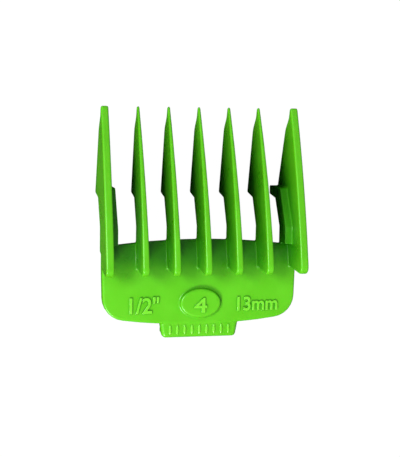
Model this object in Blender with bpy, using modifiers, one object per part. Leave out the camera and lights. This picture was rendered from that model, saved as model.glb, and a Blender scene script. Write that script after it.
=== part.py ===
"""Clipper guard comb: a moulded comb with a magnet pack in its blade side.

The teeth point to +Y and the side that meets the skin faces +Z.
Sizes are in millimetres, and MM turns them into metres where a shape is made.
"""
import math

import bmesh
import bpy
from mathutils import Matrix, Vector

MM = 0.001

# Lengths along Y
TAB_LENGTH = 3.3
PLATE_LENGTH = 20.5
TOOTH_REACH = 31.7
FOOT_SETBACK = 7.6

# Plate
PLATE_HALF_WIDTH = 23.8
PLATE_REAR_TAPER = 0.3
PLATE_FRONT_STEP = 0.6
PLATE_CORNER = 5.5
FRONT_ARCH_RADIUS = 171.0
REAR_ARC_RADIUS = 150.0
PLATE_EDGE = 0.4
ARCH_STEPS = 12
FRONT_ROLL_RUN = 7.0
FRONT_ROLL_DROP = 1.9
ROLL_STEPS = 8

# Blade seat and hooks, seen from the side
HOOK_DEPTH = 5.6
HOOK_STEM = 9.5
HOOK_FORWARD = 0.9
BEVEL_DROP = 3.9
BEVEL_RUN = 6.5
SEAT_SLIVER = 0.1

# Teeth
TOOTH_PITCH = 7.4
INNER_TEETH = 5
END_TOOTH_STEP = 8.3
FOOT_RISE = 10.3
FOOT_CORNER = 1.8
FOOT_SLANT = 0.85
SKIN_SLOPE = 0.2
SKIN_CURVE = 0.0042
END_SKIN_CURVE = 0.0028
SKIN_STEPS = 9
TIP_DROP = 0.9
TIP_RADIUS = 0.42
FOOT_HALF_THICKNESS = 0.86
TIP_HALF_THICKNESS = 0.56
END_HALF_THICKNESS = 0.97
END_TIP_HALF_THICKNESS = 0.95
END_DRAFT = 0.004
TOOTH_DRAFT = 0.017
TOOTH_EDGE = 0.3
ROOT_DEPTH = 1.0

# End rails
RAIL_INSET = 2.8
RAIL_SINK = 0.6
RAIL_LENGTH_BACK = 4.0
RAIL_RISE = 2.4
RAIL_FRONT = 2.75
RAIL_HOOK_LIFT = 0.3
RAIL_PROUD = 0.12

# Thumb tab and heel lip
TAB_HALF_WIDTH = 9.6
TAB_TAPER = 0.6
TAB_STEP = 0.35
TAB_EDGE = 0.8
TAB_CORNER = 1.0
TAB_OVERLAP = 1.5
LIP_INSET = 0.3
LIP_THICKNESS = 1.8
LIP_DEPTH = 3.7
LIP_CORNER = 0.6

# Number boss
BOSS_LENGTH = 10.0
BOSS_WIDTH = 7.1
BOSS_HEIGHT = 1.0
BOSS_EDGE = 0.5
BOSS_SETBACK = 15.2

# Magnet pack
PACK_AHEAD = 8.0
MAGNET_RADIUS = 4.0
MAGNET_THICKNESS = 1.3
MAGNET_SPREAD = 9.5
KEEPER_THICKNESS = 0.5
KEEPER_MARGIN = 0.5
RETAINER_RIM = 0.7
RETAINER_CORNER = 2.0
PACK_RECESS = 0.1
CLEARANCE = 0.2
SKIN_OVER_PACK = 0.7
MAGNET_EDGE = 0.15

# Heights worked out from the sizes above
HOOK_SEAT_Z = HOOK_DEPTH
SEAT_Z = HOOK_SEAT_Z + BEVEL_DROP
PACK_LOW = SEAT_Z + PACK_RECESS
PACK_HIGH = PACK_LOW + MAGNET_THICKNESS
KEEPER_LOW = PACK_HIGH + CLEARANCE
KEEPER_HIGH = KEEPER_LOW + KEEPER_THICKNESS
POCKET_HIGH = KEEPER_HIGH + CLEARANCE
PLATE_TOP = POCKET_HIGH + SKIN_OVER_PACK
FOOT_Z = PLATE_TOP + FOOT_RISE

# Places along Y, with the whole length centred on the origin
TAB_END_Y = -(TAB_LENGTH + PLATE_LENGTH + TOOTH_REACH) / 2
REAR_Y = TAB_END_Y + TAB_LENGTH
FRONT_Y = REAR_Y + PLATE_LENGTH
TIP_Y = FRONT_Y + TOOTH_REACH
FOOT_Y = FRONT_Y - FOOT_SETBACK
HOOK_Y = FRONT_Y + HOOK_STEM
SEAT_END_Y = HOOK_Y - BEVEL_RUN
PACK_Y = REAR_Y + PACK_AHEAD
BOSS_Y = FRONT_Y - BOSS_SETBACK

# Places across X
END_X = TOOTH_PITCH * (INNER_TEETH - 1) / 2 + END_TOOTH_STEP
PLATE_FRONT_HALF = PLATE_HALF_WIDTH - PLATE_FRONT_STEP
HOLE_RADIUS = MAGNET_RADIUS + CLEARANCE
RETAINER_HALF_LENGTH = MAGNET_SPREAD + HOLE_RADIUS + RETAINER_RIM
RETAINER_HALF_WIDTH = HOLE_RADIUS + RETAINER_RIM
KEEPER_HALF_LENGTH = MAGNET_SPREAD + MAGNET_RADIUS
KEEPER_HALF_WIDTH = MAGNET_RADIUS - KEEPER_MARGIN

# Turns an outline drawn in (y, z) so that its thickness runs along X
SIDEWAYS = Matrix(((0, 0, 1, 0), (1, 0, 0, 0), (0, 1, 0, 0), (0, 0, 0, 1)))


def clear_scene():
    for item in list(bpy.data.objects):
        bpy.data.objects.remove(item)


def new_collection(name):
    collection = bpy.data.collections.new(name)
    bpy.context.scene.collection.children.link(collection)
    return collection


def material(name, colour, roughness, metallic=0.0):
    made = bpy.data.materials.new(name)
    made.use_nodes = True
    shader = made.node_tree.nodes["Principled BSDF"]
    shader.inputs["Base Color"].default_value = (*colour, 1.0)
    shader.inputs["Roughness"].default_value = roughness
    shader.inputs["Metallic"].default_value = metallic
    return made


def round_corners(corners, steps=6):
    """An outline through (x, y, radius) corners, each turned by an arc of its radius."""
    points = []
    for index, (x, y, radius) in enumerate(corners):
        corner = Vector((x, y))
        if radius == 0:
            points.append(corner)
            continue
        following = corners[(index + 1) % len(corners)]
        before = (Vector(corners[index - 1][:2]) - corner).normalized()
        after = (Vector(following[:2]) - corner).normalized()
        half = before.angle(after) / 2
        centre = corner + (before + after).normalized() * radius / math.sin(half)
        start = corner + before * radius / math.tan(half) - centre
        turn = math.copysign(math.pi - 2 * half, after.cross(before))
        for step in range(steps + 1):
            points.append(centre + Matrix.Rotation(turn * step / steps, 2) @ start)
    return points


def rounded_rectangle(centre_y, half_length, half_width, radius):
    return round_corners([
        (half_length, centre_y - half_width, radius),
        (half_length, centre_y + half_width, radius),
        (-half_length, centre_y + half_width, radius),
        (-half_length, centre_y - half_width, radius),
    ])


def ellipse(centre_x, centre_y, radius_x, radius_y, count=48):
    angles = [math.tau * step / count for step in range(count)]
    return [
        (centre_x + radius_x * math.cos(angle), centre_y + radius_y * math.sin(angle))
        for angle in angles
    ]


def finish_mesh(mesh):
    work = bmesh.new()
    work.from_mesh(mesh)
    bmesh.ops.remove_doubles(work, verts=work.verts, dist=0.001 * MM)
    bmesh.ops.recalc_face_normals(work, faces=work.faces)
    work.to_mesh(mesh)
    work.free()


def prism(name, outlines, low, high, collection, paint=None):
    """A solid from closed outlines in (x, y), from height low to height high."""
    curve = bpy.data.curves.new(name, "CURVE")
    curve.dimensions = "2D"
    curve.fill_mode = "BOTH"
    curve.extrude = (high - low) / 2 * MM
    for outline in outlines:
        spline = curve.splines.new("POLY")
        spline.points.add(len(outline) - 1)
        spline.use_cyclic_u = True
        for point, (x, y) in zip(spline.points, outline):
            point.co = (x * MM, y * MM, 0, 1)
    drawn = bpy.data.objects.new(name + "_outline", curve)
    drawn.location.z = (low + high) / 2 * MM
    collection.objects.link(drawn)
    bpy.context.view_layer.update()
    mesh = bpy.data.meshes.new_from_object(drawn)
    mesh.name = name
    mesh.transform(drawn.matrix_world)
    bpy.data.objects.remove(drawn)
    finish_mesh(mesh)
    if len(outlines) == 1:
        merge_caps(mesh)
    solid = bpy.data.objects.new(name, mesh)
    collection.objects.link(solid)
    if paint:
        mesh.materials.append(paint)
    return solid


def merge_caps(mesh):
    """Turns each triangulated end face into one polygon, so that its rim bevels cleanly."""
    work = bmesh.new()
    work.from_mesh(mesh)
    caps = [face for face in work.faces if abs(face.normal.z) > 0.999]
    bmesh.ops.dissolve_faces(work, faces=caps)
    work.to_mesh(mesh)
    work.free()


def bevel(solid, width, segments=2):
    modifier = solid.modifiers.new("edges", "BEVEL")
    modifier.width = width * MM
    modifier.segments = segments
    modifier.limit_method = "ANGLE"
    modifier.angle_limit = math.radians(40)
    modifier.use_clamp_overlap = False


def combine(target, operand, operation):
    modifier = target.modifiers.new(operand.name, "BOOLEAN")
    modifier.operation = operation
    modifier.solver = "EXACT"
    modifier.object = operand
    operand.hide_render = True
    operand.display_type = "WIRE"


def plate_outline():
    front = []
    for step in range(ARCH_STEPS + 1):
        x = PLATE_FRONT_HALF * (1 - 2 * step / ARCH_STEPS)
        front.append((x, FRONT_Y - x * x / (2 * FRONT_ARCH_RADIUS), 0))
    rear_half = PLATE_HALF_WIDTH - PLATE_REAR_TAPER
    rear_side_y = REAR_Y + rear_half ** 2 / (2 * REAR_ARC_RADIUS)
    shoulder_y = FOOT_Y + FOOT_CORNER
    rear = []
    flat_half = rear_half - PLATE_CORNER - PLATE_EDGE
    for step in range(1, ARCH_STEPS):
        x = flat_half * (2 * step / ARCH_STEPS - 1)
        rear.append((x, REAR_Y + x * x / (2 * REAR_ARC_RADIUS), 0))
    left = [
        (-PLATE_FRONT_HALF, shoulder_y, 0),
        (-PLATE_HALF_WIDTH, shoulder_y - PLATE_FRONT_STEP, 0),
        (-rear_half, rear_side_y, PLATE_CORNER),
    ]
    right = [
        (rear_half, rear_side_y, PLATE_CORNER),
        (PLATE_HALF_WIDTH, shoulder_y - PLATE_FRONT_STEP, 0),
        (PLATE_FRONT_HALF, shoulder_y, 0),
    ]
    return round_corners(front + left + rear + right)


def skin_z(y, skin_curve):
    along = y - FOOT_Y
    return FOOT_Z - SKIN_SLOPE * along - skin_curve * along ** 2


def tooth_outline(skin_curve):
    """The side view of a tooth in (y, z), from its foot to its tip and back by the hook."""
    skin_length = TIP_Y - FOOT_Y
    skin = []
    for step in range(1, SKIN_STEPS):
        y = FOOT_Y + skin_length * step / SKIN_STEPS
        skin.append((y, skin_z(y, skin_curve), 0))
    tip_z = skin_z(TIP_Y, skin_curve)
    seat_z = SEAT_Z + SEAT_SLIVER
    foot_root_y = FOOT_Y + FOOT_SLANT
    return round_corners([
        (foot_root_y, PLATE_TOP - ROOT_DEPTH, 0),
        (FOOT_Y, FOOT_Z, FOOT_CORNER),
        *skin,
        (TIP_Y, tip_z, TIP_RADIUS),
        (TIP_Y - 0.2, tip_z - TIP_DROP, TIP_RADIUS),
        (TIP_Y - 2.4, tip_z - 1.6, 2.0),
        (TIP_Y - 5.2, tip_z - 4.3, 4.0),
        (HOOK_Y + HOOK_FORWARD, 0, TIP_RADIUS),
        (HOOK_Y, HOOK_SEAT_Z, 0),
        (SEAT_END_Y, seat_z, 0),
        (SEAT_END_Y - 6.0, seat_z, 0),
        (SEAT_END_Y - 6.4, PLATE_TOP - ROOT_DEPTH, 0),
    ])


def rail_outline():
    """The side view of an end rail in (y, z), a little nearer the blade than its tooth."""
    seat_z = SEAT_Z + SEAT_SLIVER / 2
    back_y = SEAT_END_Y - RAIL_LENGTH_BACK
    front_y = HOOK_Y + RAIL_FRONT
    top_z = PLATE_TOP + RAIL_RISE
    return round_corners([
        (back_y, seat_z, 0),
        (back_y, top_z, 0),
        (SEAT_END_Y, top_z, 2.0),
        (front_y, SEAT_Z, 1.0),
        (front_y, RAIL_HOOK_LIFT, TIP_RADIUS),
        (HOOK_Y + HOOK_FORWARD - RAIL_HOOK_LIFT, RAIL_HOOK_LIFT, TIP_RADIUS),
        (HOOK_Y - RAIL_PROUD, HOOK_SEAT_Z - RAIL_PROUD, 0),
        (SEAT_END_Y - RAIL_PROUD, seat_z, 0),
    ])


def add_tooth(name, centre_x, skin_curve, foot_half, tip_half, draft, collection):
    """A tooth that thins from its foot to its tip, and by its draft towards the blade."""
    tooth = prism(name, [tooth_outline(skin_curve)], -1, 1, collection)
    tooth.data.transform(SIDEWAYS)
    for vertex in tooth.data.vertices:
        share = (vertex.co.y / MM - FOOT_Y) / (TIP_Y - FOOT_Y)
        depth = FOOT_Z - vertex.co.z / MM
        half = foot_half + share * (tip_half - foot_half) - draft * depth
        vertex.co.x = (centre_x + math.copysign(half, vertex.co.x)) * MM
    bevel(tooth, TOOTH_EDGE)
    return tooth


def add_rail(name, side, collection):
    inner_x = END_X - RAIL_INSET
    outer_x = END_X - RAIL_SINK
    low, high = sorted((side * inner_x, side * outer_x))
    rail = prism(name, [rail_outline()], low, high, collection)
    rail.data.transform(SIDEWAYS)
    return rail


def add_tab(collection):
    end_half = TAB_HALF_WIDTH - TAB_TAPER
    root_y = REAR_Y + TAB_OVERLAP
    outline = round_corners([
        (TAB_HALF_WIDTH, root_y, 0),
        (-TAB_HALF_WIDTH, root_y, 0),
        (-TAB_HALF_WIDTH, REAR_Y, 0),
        (-end_half, TAB_END_Y, TAB_CORNER),
        (end_half, TAB_END_Y, TAB_CORNER),
        (TAB_HALF_WIDTH, REAR_Y, 0),
    ])
    tab = prism("tab", [outline], SEAT_Z + SEAT_SLIVER, PLATE_TOP - TAB_STEP, collection)
    bevel(tab, TAB_EDGE, 3)
    return tab


def add_lip(collection):
    low_y = TAB_END_Y + LIP_INSET / 2
    half_length = TAB_HALF_WIDTH - TAB_TAPER - LIP_INSET
    half_width = LIP_THICKNESS / 2
    outline = rounded_rectangle(low_y + half_width, half_length, half_width, LIP_CORNER)
    lip = prism("heel_lip", [outline], SEAT_Z - LIP_DEPTH, SEAT_Z + ROOT_DEPTH, collection)
    bevel(lip, TOOTH_EDGE)
    return lip


def add_boss(collection):
    outline = ellipse(0, BOSS_Y, BOSS_LENGTH / 2, BOSS_WIDTH / 2)
    boss = prism("number_boss", [outline], PLATE_TOP - TAB_STEP, PLATE_TOP + BOSS_HEIGHT, collection)
    bevel(boss, BOSS_EDGE, 3)
    for vertex in boss.data.vertices:
        vertex.co.z = max(vertex.co.z, (PLATE_TOP - TAB_STEP) * MM)
    return boss


def add_front_roll(cutters):
    """The cutter that rolls the plate's upper face down to its front edge."""
    start_y = FRONT_Y - FRONT_ROLL_RUN
    roll = []
    for step in range(ROLL_STEPS + 1):
        share = step / ROLL_STEPS
        y = start_y + FRONT_ROLL_RUN * share
        roll.append((y, PLATE_TOP - FRONT_ROLL_DROP * share ** 2))
    end_y = FRONT_Y + ROOT_DEPTH
    end_z = PLATE_TOP - FRONT_ROLL_DROP * ((end_y - start_y) / FRONT_ROLL_RUN) ** 2
    high_z = PLATE_TOP + ROOT_DEPTH
    outline = [*roll, (end_y, end_z), (end_y, high_z), (start_y, high_z)]
    half_width = PLATE_HALF_WIDTH + ROOT_DEPTH
    cutter = prism("front_roll", [outline], -half_width, half_width, cutters)
    cutter.data.transform(SIDEWAYS)
    return cutter


def add_comb_body(collection, cutters, paint):
    body = prism("comb_body", [plate_outline()], SEAT_Z, PLATE_TOP, collection, paint)
    bevel(body, PLATE_EDGE)
    combine(body, add_front_roll(cutters), "DIFFERENCE")
    operands = [add_tab(cutters), add_lip(cutters), add_boss(cutters)]
    middle = (INNER_TEETH - 1) / 2
    inner_sizes = (SKIN_CURVE, FOOT_HALF_THICKNESS, TIP_HALF_THICKNESS, TOOTH_DRAFT)
    for index in range(INNER_TEETH):
        centre_x = (index - middle) * TOOTH_PITCH
        operands.append(add_tooth(f"tooth_{index + 1}", centre_x, *inner_sizes, cutters))
    end_sizes = (END_SKIN_CURVE, END_HALF_THICKNESS, END_TIP_HALF_THICKNESS, END_DRAFT)
    for name, side in (("left", -1), ("right", 1)):
        operands.append(add_tooth(f"end_tooth_{name}", side * END_X, *end_sizes, cutters))
        operands.append(add_rail(f"rail_{name}", side, cutters))
    for operand in operands:
        combine(body, operand, "UNION")
    pocket_outline = rounded_rectangle(
        PACK_Y,
        RETAINER_HALF_LENGTH + CLEARANCE,
        RETAINER_HALF_WIDTH + CLEARANCE,
        RETAINER_CORNER + CLEARANCE,
    )
    pocket = prism("pack_pocket", [pocket_outline], SEAT_Z - ROOT_DEPTH, POCKET_HIGH, cutters)
    combine(body, pocket, "DIFFERENCE")
    return body


def add_magnet_pack(collection, retainer_paint, magnet_paint, keeper_paint):
    outline = rounded_rectangle(
        PACK_Y, RETAINER_HALF_LENGTH, RETAINER_HALF_WIDTH, RETAINER_CORNER
    )
    holes = [
        ellipse(side * MAGNET_SPREAD, PACK_Y, HOLE_RADIUS, HOLE_RADIUS) for side in (-1, 1)
    ]
    prism("magnet_retainer", [outline, *holes], PACK_LOW, PACK_HIGH, collection, retainer_paint)
    for name, side in (("left", -1), ("right", 1)):
        disc = ellipse(side * MAGNET_SPREAD, PACK_Y, MAGNET_RADIUS, MAGNET_RADIUS)
        magnet = prism(f"magnet_{name}", [disc], PACK_LOW, PACK_HIGH, collection, magnet_paint)
        bevel(magnet, MAGNET_EDGE)
    strip = rounded_rectangle(PACK_Y, KEEPER_HALF_LENGTH, KEEPER_HALF_WIDTH, RETAINER_CORNER)
    prism("keeper_plate", [strip], KEEPER_LOW, KEEPER_HIGH, collection, keeper_paint)


def centre_on_ground(body, collections):
    """Shifts every piece alike, so that the body stands on Z = 0, centred on the Z axis."""
    bpy.context.view_layer.update()
    evaluated = body.evaluated_get(bpy.context.evaluated_depsgraph_get())
    corners = [Vector(corner) for corner in evaluated.bound_box]
    middle_y = (corners[0].y + corners[6].y) / 2
    for collection in collections:
        for item in collection.objects:
            item.location -= Vector((0, middle_y, corners[0].z))


def main():
    clear_scene()
    parts = new_collection("clipper_guard_comb")
    cutters = new_collection("cutters")
    green = material("green_plastic", (0.14, 0.68, 0.03), 0.32)
    nickel = material("nickel_plate", (0.75, 0.74, 0.72), 0.18, 1.0)
    zinc = material("zinc_steel", (0.55, 0.56, 0.58), 0.4, 1.0)
    body = add_comb_body(parts, cutters, green)
    add_magnet_pack(parts, green, nickel, zinc)
    centre_on_ground(body, (parts, cutters))
    cutters.hide_render = True


main()
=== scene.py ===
"""Looks of the clipper guard comb: moulded green plastic with raised size marks, in a studio.

Everything is in metres, in the CAD frame: +Y to the tooth tips, +Z to the skin side.
"""

import math

import bmesh
import bpy
from mathutils import Euler, Matrix, Vector
from mathutils.bvhtree import BVHTree


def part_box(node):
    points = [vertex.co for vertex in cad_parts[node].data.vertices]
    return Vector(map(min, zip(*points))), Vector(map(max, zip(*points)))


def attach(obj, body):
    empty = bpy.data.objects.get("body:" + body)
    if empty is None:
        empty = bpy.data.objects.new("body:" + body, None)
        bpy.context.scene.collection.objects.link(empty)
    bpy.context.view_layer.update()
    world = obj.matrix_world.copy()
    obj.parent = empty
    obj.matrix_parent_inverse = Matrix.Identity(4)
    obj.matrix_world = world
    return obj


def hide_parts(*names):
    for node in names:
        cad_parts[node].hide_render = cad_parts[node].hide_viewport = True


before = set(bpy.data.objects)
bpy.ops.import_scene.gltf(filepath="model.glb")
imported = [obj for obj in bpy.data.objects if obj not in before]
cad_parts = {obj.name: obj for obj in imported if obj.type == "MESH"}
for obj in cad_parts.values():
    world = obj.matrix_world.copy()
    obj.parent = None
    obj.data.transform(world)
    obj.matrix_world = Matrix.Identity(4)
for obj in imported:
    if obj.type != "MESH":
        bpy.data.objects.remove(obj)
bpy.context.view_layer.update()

MM = 0.001
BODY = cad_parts["comb_body"]

# Moulded skin of the comb
VOXEL = 0.16 * MM
SOFTEN_STEPS = 4
SOFTEN_FACTOR = 0.5

# The part of a noise's range that colours and gloss are spread over
NOISE_LOW = 0.35
NOISE_HIGH = 0.65

# Plastic
FLOW_SCALE = 140.0
FLOW_DETAIL = 3.0
GRAIN_SCALE = 2600.0
GRAIN_DETAIL = 2.0
GRAIN_STRENGTH = 0.10
GRAIN_DEPTH = 0.02 * MM
PLASTIC_SMOOTHER = 0.03
PLASTIC_ROUGHER = 0.04
PLASTIC_IOR = 1.49
SCATTER_WEIGHT = 0.3
SCATTER_RADIUS = (0.35, 1.0, 0.15)
SCATTER_DEPTH = 0.6 * MM
GREEN = ((0.125, 0.60, 0.008), (0.14, 0.65, 0.012))
GREEN_ROUGHNESS = 0.30
# Painted highlight: a paler copy of the body green for the raised marks and grip ribs, which are
# moulded in the same plastic as the body
PAINTED_HIGHLIGHT_GREEN = ((0.20, 0.76, 0.03), (0.24, 0.82, 0.045))
RAISED_ROUGHNESS = 0.26
DARK_GREEN = ((0.10, 0.50, 0.02), (0.125, 0.58, 0.028))
DARK_ROUGHNESS = 0.42

# Painted shade: the colour is darkened between facing walls, where an ambient occlusion probe
# finds little open space
PAINTED_SHADE_REACH = 9.0 * MM
PAINTED_SHADE_FULL_AT = 0.35
PAINTED_SHADE_NONE_AT = 0.92
PAINTED_SHADE_TINT = (0.15, 0.42, 0.15)
PAINTED_SHADE_SAMPLES = 8

# Brushed metal
BRUSH_SCALE = 900.0
BRUSH_DETAIL = 4.0
BRUSH_STRENGTH = 0.15
BRUSH_DEPTH = 0.01 * MM
METAL_SMOOTHER = 0.06
METAL_ROUGHER = 0.12
NICKEL = ((0.62, 0.61, 0.58), (0.80, 0.79, 0.76))
NICKEL_ROUGHNESS = 0.20
NICKEL_STRETCH = (1, 8, 1)
ZINC = ((0.45, 0.47, 0.50), (0.62, 0.64, 0.66))
ZINC_ROUGHNESS = 0.38
ZINC_STRETCH = (8, 1, 1)

# Raised marks, on the plate's upper face
MARK_HEIGHT = 0.24 * MM
MARK_SINK = 0.12 * MM
MARK_BEVEL = 0.08 * MM
MARK_BEVEL_STEPS = 2
MARK_CURVE_STEPS = 6
MARK_WEIGHT = 0.05 * MM
MARK_SHARP = math.radians(35)
PLATE_MARK_AHEAD = 7.9 * MM
MARK_SPREAD = 14.0 * MM
INCH_SIZE = 5.3 * MM
METRIC_SIZE = 4.7 * MM
NUMBER_SIZE = 4.9 * MM
METRIC_STRETCH = 0.93
INCH_STRETCH = 0.95
NUMBER_STRETCH = 1.3

# Grip ribs on the thumb tab
RIB_COUNT = 9
RIB_PITCH = 1.8 * MM
RIB_WIDTH = 0.8 * MM
RIB_LENGTH = 2.6 * MM
RIB_HEIGHT = 0.25 * MM
RIB_SINK = 0.025 * MM
RIB_FROM_REAR = 2.0 * MM
RIB_SEGMENTS = 16
RIB_RINGS = 10

# Camera, above the comb and a little to its left
CAMERA_PLACE = Vector((-57.2, 28.1, 267.7)) * MM
CAMERA_TURN = Euler([math.radians(angle) for angle in (-6.573, -12.4724, 0.8667)])
CAMERA_LENS = 86.65
CAMERA_NEAR = 0.01

# Studio
FLOOR_HALF = 1.5
FLOOR_SHADES = ((0.02, 0.02, 0.02), (0.03, 0.03, 0.03))
FLOOR_NOISE_SCALE = 3.0
FLOOR_NOISE_DETAIL = 3.0
FLOOR_GLOW = 1.0
WHITE = (1.0, 1.0, 1.0, 1.0)
SKY_STRENGTH = 0.26
KEY_PLACE = (-0.36, -0.52, 0.50)
KEY_SIZE = 0.22
KEY_POWER = 5.0
RIDGE_PLACE = (-0.45, 0.18, 0.60)
RIDGE_SIZE = 0.22
RIDGE_POWER = 3.4


def node_material(name):
    made = bpy.data.materials.new(name)
    made.use_nodes = True
    nodes = made.node_tree
    shader = nodes.nodes["Principled BSDF"]
    return made, nodes, shader


def add_noise(tree, scale, detail):
    """A noise texture over the object's own coordinates."""
    place = tree.nodes.new("ShaderNodeTexCoord")
    noise = tree.nodes.new("ShaderNodeTexNoise")
    noise.inputs["Scale"].default_value = scale
    noise.inputs["Detail"].default_value = detail
    tree.links.new(place.outputs["Object"], noise.inputs["Vector"])
    return noise


def add_range(tree, source, low, high, start=NOISE_LOW, end=NOISE_HIGH):
    remap = tree.nodes.new("ShaderNodeMapRange")
    remap.inputs["From Min"].default_value = start
    remap.inputs["From Max"].default_value = end
    remap.inputs["To Min"].default_value = low
    remap.inputs["To Max"].default_value = high
    tree.links.new(source, remap.inputs["Value"])
    return remap.outputs["Result"]


def add_ramp(tree, source, colours):
    """Goes from the first colour to the second over the noise's range."""
    ramp = tree.nodes.new("ShaderNodeValToRGB")
    for element, stop, colour in zip(ramp.color_ramp.elements, (NOISE_LOW, NOISE_HIGH), colours):
        element.position = stop
        element.color = (*colour, 1)
    tree.links.new(source, ramp.inputs["Fac"])
    return ramp.outputs["Color"]


def add_bump(tree, shader, source, strength, distance):
    bump = tree.nodes.new("ShaderNodeBump")
    bump.inputs["Strength"].default_value = strength
    bump.inputs["Distance"].default_value = distance
    tree.links.new(source, bump.inputs["Height"])
    tree.links.new(bump.outputs["Normal"], shader.inputs["Normal"])


def add_painted_shade(tree, colour):
    """Painted shade: deepens the colour between walls that face each other, where little light
    gets in.
    """
    shade_probe = tree.nodes.new("ShaderNodeAmbientOcclusion")
    shade_probe.samples = PAINTED_SHADE_SAMPLES
    shade_probe.inputs["Distance"].default_value = PAINTED_SHADE_REACH
    shade_share = add_range(tree, shade_probe.outputs["AO"], 1.0, 0.0, PAINTED_SHADE_FULL_AT, PAINTED_SHADE_NONE_AT)
    mix = tree.nodes.new("ShaderNodeMix")
    mix.data_type = "RGBA"
    mix.blend_type = "MULTIPLY"
    mix.inputs["B"].default_value = (*PAINTED_SHADE_TINT, 1)
    tree.links.new(shade_share, mix.inputs["Factor"])
    tree.links.new(colour, mix.inputs["A"])
    return mix.outputs["Result"]


def plastic(name, colours, roughness):
    """Moulded plastic: faint flow marks in its colour and gloss, a fine grain, and painted shade
    between facing walls.
    """
    made, tree, shader = node_material(name)
    flow = add_noise(tree, FLOW_SCALE, FLOW_DETAIL)
    grain = add_noise(tree, GRAIN_SCALE, GRAIN_DETAIL)
    colour = add_ramp(tree, flow.outputs["Fac"], colours)
    # Base colour with painted shade darkening it between facing walls
    tree.links.new(add_painted_shade(tree, colour), shader.inputs["Base Color"])
    smooth, rough = roughness - PLASTIC_SMOOTHER, roughness + PLASTIC_ROUGHER
    gloss = add_range(tree, flow.outputs["Fac"], smooth, rough)
    tree.links.new(gloss, shader.inputs["Roughness"])
    add_bump(tree, shader, grain.outputs["Fac"], GRAIN_STRENGTH, GRAIN_DEPTH)
    shader.inputs["IOR"].default_value = PLASTIC_IOR
    shader.inputs["Subsurface Weight"].default_value = SCATTER_WEIGHT
    shader.inputs["Subsurface Radius"].default_value = SCATTER_RADIUS
    shader.inputs["Subsurface Scale"].default_value = SCATTER_DEPTH
    return made


def brushed_metal(name, colours, roughness, stretch):
    """Metal with fine lines along one direction."""
    made, tree, shader = node_material(name)
    shader.inputs["Metallic"].default_value = 1.0
    place = tree.nodes.new("ShaderNodeTexCoord")
    scaling = tree.nodes.new("ShaderNodeMapping")
    scaling.inputs["Scale"].default_value = stretch
    lines = tree.nodes.new("ShaderNodeTexNoise")
    lines.inputs["Scale"].default_value = BRUSH_SCALE
    lines.inputs["Detail"].default_value = BRUSH_DETAIL
    tree.links.new(place.outputs["Object"], scaling.inputs["Vector"])
    tree.links.new(scaling.outputs["Vector"], lines.inputs["Vector"])
    colour = add_ramp(tree, lines.outputs["Fac"], colours)
    tree.links.new(colour, shader.inputs["Base Color"])
    smooth, rough = roughness - METAL_SMOOTHER, roughness + METAL_ROUGHER
    gloss = add_range(tree, lines.outputs["Fac"], smooth, rough)
    tree.links.new(gloss, shader.inputs["Roughness"])
    add_bump(tree, shader, lines.outputs["Fac"], BRUSH_STRENGTH, BRUSH_DEPTH)
    return made


def paint(obj, made):
    obj.data.materials.clear()
    obj.data.materials.append(made)


def link(obj):
    bpy.context.scene.collection.objects.link(obj)
    return obj


def evaluated_mesh(obj):
    """A new mesh of an object's shape, with its modifiers or its curve settings applied."""
    bpy.context.view_layer.update()
    view = bpy.context.evaluated_depsgraph_get()
    return bpy.data.meshes.new_from_object(obj.evaluated_get(view))


def moulded_skin(green):
    """The comb's own shape with every inner corner filleted, as a mould leaves it."""
    skin = link(bpy.data.objects.new("comb_body_skin", BODY.data.copy()))
    remesh = skin.modifiers.new("voxels", "REMESH")
    remesh.mode = "VOXEL"
    remesh.voxel_size = VOXEL
    soften = skin.modifiers.new("soften", "SMOOTH")
    soften.factor = SOFTEN_FACTOR
    soften.iterations = SOFTEN_STEPS
    mesh = evaluated_mesh(skin)
    skin.modifiers.clear()
    skin.data = mesh
    mesh.shade_smooth()
    paint(skin, green)
    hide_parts("comb_body")
    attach(skin, "root")
    return skin


def surface_of(obj):
    mesh = obj.data
    corners = [vertex.co for vertex in mesh.vertices]
    return BVHTree.FromPolygons(corners, [face.vertices for face in mesh.polygons])


def surface_height(surface, x, y):
    """The height of the comb's upper face over the point (x, y)."""
    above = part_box("comb_body")[1].z + MM
    place = surface.ray_cast(Vector((x, y, above)), Vector((0, 0, -1)))[0]
    return place.z


def raised_mark(name, text, x, y, size, stretch, surface, green):
    """Raised numerals, standing on the face under them."""
    curve = bpy.data.curves.new(name, "FONT")
    curve.body = text
    curve.size = size
    curve.align_x = "CENTER"
    curve.align_y = "CENTER"
    curve.extrude = (MARK_HEIGHT + MARK_SINK) / 2
    curve.bevel_depth = MARK_BEVEL
    curve.bevel_resolution = MARK_BEVEL_STEPS
    curve.offset = MARK_WEIGHT
    curve.resolution_u = MARK_CURVE_STEPS
    drawn = link(bpy.data.objects.new(name + "_text", curve))
    mesh = evaluated_mesh(drawn)
    bpy.data.objects.remove(drawn)
    middle_z = surface_height(surface, x, y) + (MARK_HEIGHT - MARK_SINK) / 2
    mesh.transform(Matrix.Diagonal((stretch, 1, 1, 1)))
    mesh.transform(Matrix.Translation((x, y, middle_z)))
    mark = link(bpy.data.objects.new(name, mesh))
    mesh.shade_smooth()
    mesh.set_sharp_from_angle(angle=MARK_SHARP)
    paint(mark, green)
    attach(mark, "root")


def add_marks(surface, green):
    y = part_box("comb_body")[0].y + PLATE_MARK_AHEAD
    for name, text, x, size, stretch in (
        ("inch_mark", '1/2"', -MARK_SPREAD, INCH_SIZE, INCH_STRETCH),
        ("metric_mark", "13mm", MARK_SPREAD, METRIC_SIZE, METRIC_STRETCH),
        ("number_mark", "4", 0, NUMBER_SIZE, NUMBER_STRETCH),
    ):
        raised_mark(name, text, x, y, size, stretch, surface, green)


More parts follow.
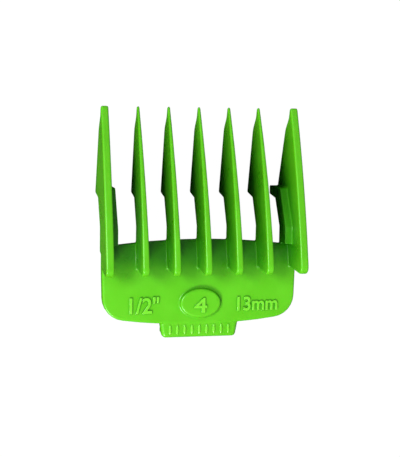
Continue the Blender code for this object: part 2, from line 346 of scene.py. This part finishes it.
def grip_ribs(surface, green):
    """A row of low ribs across the thumb tab."""
    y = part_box("comb_body")[0].y + RIB_FROM_REAR
    size = Matrix.Diagonal((RIB_WIDTH / 2, RIB_LENGTH / 2, RIB_HEIGHT, 1))
    work = bmesh.new()
    for index in range(RIB_COUNT):
        x = (index - (RIB_COUNT - 1) / 2) * RIB_PITCH
        z = surface_height(surface, x, y) - RIB_SINK
        made = bmesh.ops.create_uvsphere(
            work, u_segments=RIB_SEGMENTS, v_segments=RIB_RINGS, radius=1.0
        )
        place = Matrix.Translation((x, y, z))
        bmesh.ops.transform(work, matrix=place @ size, verts=made["verts"])
    mesh = bpy.data.meshes.new("grip_ribs")
    work.to_mesh(mesh)
    work.free()
    mesh.shade_smooth()
    ribs = link(bpy.data.objects.new("grip_ribs", mesh))
    paint(ribs, green)
    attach(ribs, "root")


def add_light(name, place, size, power):
    """A soft square light that faces the comb."""
    lamp = bpy.data.lights.new(name, "AREA")
    lamp.energy = power
    lamp.size = size
    lamp_object = link(bpy.data.objects.new(name, lamp))
    lamp_object.location = place
    lamp_object.rotation_euler = (-Vector(place)).to_track_quat("-Z", "Y").to_euler()


def add_floor():
    """A floor that looks white to the camera and throws almost no light on the comb."""
    mesh = bpy.data.meshes.new("floor")
    half = FLOOR_HALF
    corners = [(-half, -half, 0), (half, -half, 0), (half, half, 0), (-half, half, 0)]
    mesh.from_pydata(corners, [], [(0, 1, 2, 3)])
    floor = link(bpy.data.objects.new("floor", mesh))
    made, tree, shader = node_material("floor_white")
    shade = add_noise(tree, FLOOR_NOISE_SCALE, FLOOR_NOISE_DETAIL)
    tree.links.new(add_ramp(tree, shade.outputs["Fac"], FLOOR_SHADES), shader.inputs["Base Color"])
    shader.inputs["Roughness"].default_value = 1.0
    shader.inputs["Specular IOR Level"].default_value = 0.0
    rays = tree.nodes.new("ShaderNodeLightPath")
    glow = add_range(tree, rays.outputs["Is Camera Ray"], 0.0, FLOOR_GLOW, 0.0, 1.0)
    shader.inputs["Emission Color"].default_value = WHITE
    tree.links.new(glow, shader.inputs["Emission Strength"])
    paint(floor, made)


def add_world():
    world = bpy.data.worlds.new("studio")
    bpy.context.scene.world = world
    world.use_nodes = True
    back = world.node_tree.nodes["Background"]
    back.inputs["Color"].default_value = WHITE
    back.inputs["Strength"].default_value = SKY_STRENGTH


def add_camera():
    camera = link(bpy.data.objects.new("camera", bpy.data.cameras.new("camera")))
    camera.data.lens = CAMERA_LENS
    camera.data.clip_start = CAMERA_NEAR
    camera.location = CAMERA_PLACE
    camera.rotation_euler = CAMERA_TURN
    bpy.context.scene.camera = camera


def main():
    green = plastic("green_moulding", GREEN, GREEN_ROUGHNESS)
    # Paler copy of the green: a painted highlight for the raised marks and grip ribs
    painted_highlight_green = plastic("raised_moulding_painted_highlight", PAINTED_HIGHLIGHT_GREEN, RAISED_ROUGHNESS)
    dark_green = plastic("retainer_moulding", DARK_GREEN, DARK_ROUGHNESS)
    nickel = brushed_metal("nickel", NICKEL, NICKEL_ROUGHNESS, NICKEL_STRETCH)
    zinc = brushed_metal("zinc", ZINC, ZINC_ROUGHNESS, ZINC_STRETCH)
    surface = surface_of(moulded_skin(green))
    add_marks(surface, painted_highlight_green)
    grip_ribs(surface, painted_highlight_green)
    paint(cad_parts["magnet_retainer"], dark_green)
    for name in ("magnet_left", "magnet_right"):
        paint(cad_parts[name], nickel)
    paint(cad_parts["keeper_plate"], zinc)
    add_floor()
    add_world()
    add_light("key", KEY_PLACE, KEY_SIZE, KEY_POWER)
    add_light("ridge", RIDGE_PLACE, RIDGE_SIZE, RIDGE_POWER)
    add_camera()
    bpy.context.scene.view_settings.view_transform = "Standard"


main()
